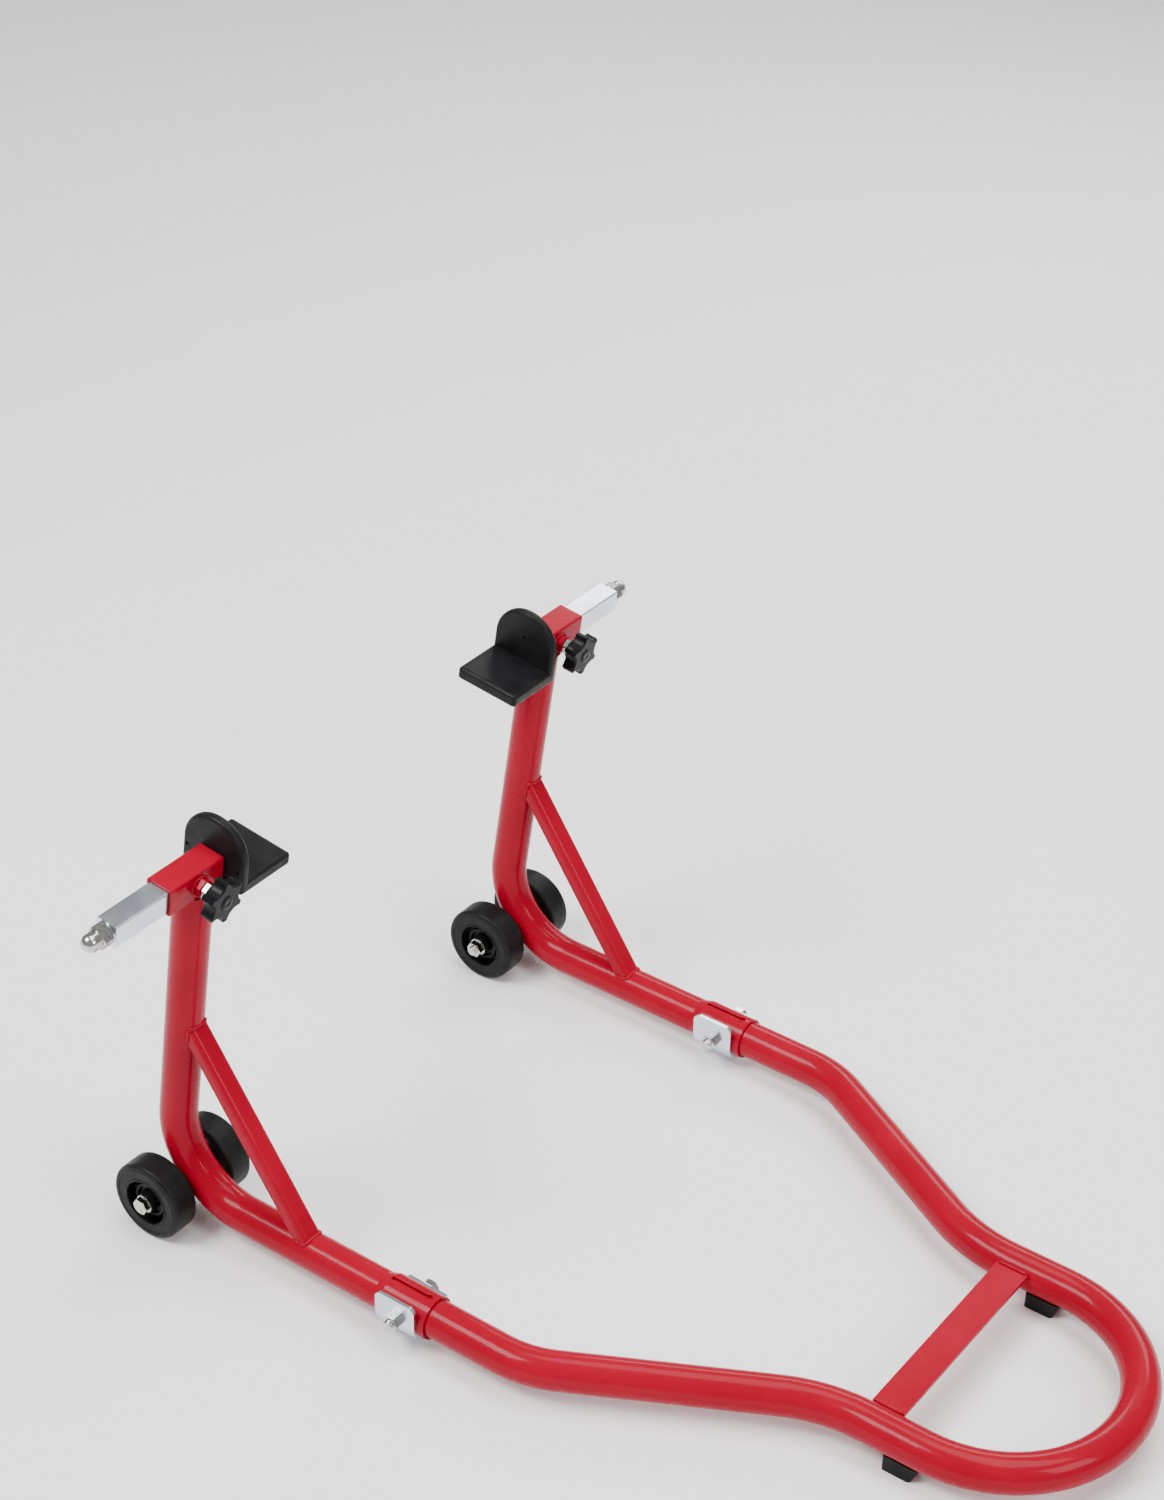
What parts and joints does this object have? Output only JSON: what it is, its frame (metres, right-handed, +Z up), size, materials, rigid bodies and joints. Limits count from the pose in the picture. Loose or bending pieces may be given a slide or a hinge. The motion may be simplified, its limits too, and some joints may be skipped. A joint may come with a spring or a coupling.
{
  "type": "paddock stand",
  "caption": "Rear paddock stand: bent tubes form a narrow-waisted handle loop, with uprights on small wheels that carry rubber angle pads on sliding square bars.",
  "frame": {"origin": "on the floor, in the middle of the stand's bounding box", "axes": "+X from the wheels towards the handle loop, +Y towards the right arm, +Z up"},
  "size_m": [0.8058, 0.684, 0.3941],
  "materials": {
    "red_paint": "gloss powder coat",
    "zinc_plate": "bright zinc plate",
    "zinc_hardware": "zinc-plated fasteners",
    "bar_finish": "bright zinc plate",
    "core_steel": "bare steel",
    "pad_rubber": "moulded matt rubber",
    "foot_rubber": "moulded matt rubber",
    "tyre_rubber": "solid matt rubber",
    "hub_plastic": "moulded black plastic",
    "knob_plastic": "moulded plastic"
  },
  "bodies": {
    "frame": {"rear_loop": "red_paint", "cross_plate": "red_paint", "side_tube_left": "red_paint", "receiver_left": "red_paint", "brace_left": "red_paint", "axle_sleeve_left": "red_paint", "clamp_nut_left": "red_paint", "foot_tab_left": "core_steel", "foot_left": "foot_rubber", "coupling_plate_left": "zinc_plate", "coupling_bolt_left": "zinc_hardware", "coupling_nut_left": "zinc_hardware", "axle_bolt_left": "zinc_hardware", "axle_nut_left": "zinc_hardware", "axle_washers_left": "zinc_hardware", "side_tube_right": "red_paint", "receiver_right": "red_paint", "brace_right": "red_paint", "axle_sleeve_right": "red_paint", "clamp_nut_right": "red_paint", "foot_tab_right": "core_steel", "foot_right": "foot_rubber", "coupling_plate_right": "zinc_plate", "coupling_bolt_right": "zinc_hardware", "coupling_nut_right": "zinc_hardware", "axle_bolt_right": "zinc_hardware", "axle_nut_right": "zinc_hardware", "axle_washers_right": "zinc_hardware"},
    "wheel_left_outer": {"tyre_left_outer": "tyre_rubber", "hub_left_outer": "hub_plastic"},
    "wheel_left_inner": {"tyre_left_inner": "tyre_rubber", "hub_left_inner": "hub_plastic"},
    "bar_left": {"adapter_bar_left": "bar_finish", "bar_end_plates_left": "bar_finish"},
    "swivel_left": {"pad_left": "pad_rubber", "pad_core_left": "core_steel", "pad_stud_left": "zinc_hardware", "acorn_nut_left": "zinc_hardware", "pad_washer_left": "zinc_hardware"},
    "screw_left": {"clamp_stud_left": "zinc_hardware"},
    "hand_knob_left": {"knob_left": "knob_plastic", "jam_nut_left": "zinc_hardware"},
    "wheel_right_outer": {"tyre_right_outer": "tyre_rubber", "hub_right_outer": "hub_plastic"},
    "wheel_right_inner": {"tyre_right_inner": "tyre_rubber", "hub_right_inner": "hub_plastic"},
    "bar_right": {"adapter_bar_right": "bar_finish", "bar_end_plates_right": "bar_finish"},
    "swivel_right": {"pad_right": "pad_rubber", "pad_core_right": "core_steel", "pad_stud_right": "zinc_hardware", "acorn_nut_right": "zinc_hardware", "pad_washer_right": "zinc_hardware"},
    "screw_right": {"clamp_stud_right": "zinc_hardware"},
    "hand_knob_right": {"knob_right": "knob_plastic", "jam_nut_right": "zinc_hardware"}
  },
  "joints": [
    {"name": "wheel_left_outer_spin", "type": "hinge", "parent": "frame", "child": "wheel_left_outer", "pos_m": [-0.3679, -0.255, 0.035], "axis": [0, 1, 0], "continuous": true},
    {"name": "wheel_left_inner_spin", "type": "hinge", "parent": "frame", "child": "wheel_left_inner", "pos_m": [-0.3679, -0.189, 0.035], "axis": [0, 1, 0], "continuous": true},
    {"name": "bar_left_slide", "type": "slide", "parent": "frame", "child": "bar_left", "axis": [0, 1, 0], "range_m": [0, 0.055]},
    {"name": "pad_left_swivel", "type": "hinge", "parent": "bar_left", "child": "swivel_left", "pos_m": [-0.33519, -0.24, 0.35319], "axis": [0, 1, 0], "continuous": true},
    {"name": "screw_left_travel", "type": "slide", "parent": "frame", "child": "screw_left", "axis": [0.9914, 0, -0.1305], "range_m": [0, 0.00375]},
    {"name": "knob_left_turn", "type": "hinge", "parent": "screw_left", "child": "hand_knob_left", "pos_m": [-0.30544, -0.23, 0.34928], "axis": [0.9914, 0, -0.1305], "range_deg": [0, 1080]},
    {"name": "wheel_right_outer_spin", "type": "hinge", "parent": "frame", "child": "wheel_right_outer", "pos_m": [-0.3679, 0.255, 0.035], "axis": [0, 1, 0], "continuous": true},
    {"name": "wheel_right_inner_spin", "type": "hinge", "parent": "frame", "child": "wheel_right_inner", "pos_m": [-0.3679, 0.189, 0.035], "axis": [0, 1, 0], "continuous": true},
    {"name": "bar_right_slide", "type": "slide", "parent": "frame", "child": "bar_right", "axis": [0, -1, 0], "range_m": [0, 0.055]},
    {"name": "pad_right_swivel", "type": "hinge", "parent": "bar_right", "child": "swivel_right", "pos_m": [-0.33519, 0.24, 0.35319], "axis": [0, 1, 0], "continuous": true},
    {"name": "screw_right_travel", "type": "slide", "parent": "frame", "child": "screw_right", "axis": [0.9914, 0, -0.1305], "range_m": [0, 0.00375]},
    {"name": "knob_right_turn", "type": "hinge", "parent": "screw_right", "child": "hand_knob_right", "pos_m": [-0.30544, 0.23, 0.34928], "axis": [0.9914, 0, -0.1305], "range_deg": [0, 1080]}
  ],
  "couplings": [
    {"joint": "knob_left_turn", "follows": "screw_left_travel", "rad_per_m": 5026},
    {"joint": "knob_right_turn", "follows": "screw_right_travel", "rad_per_m": 5026}
  ]
}
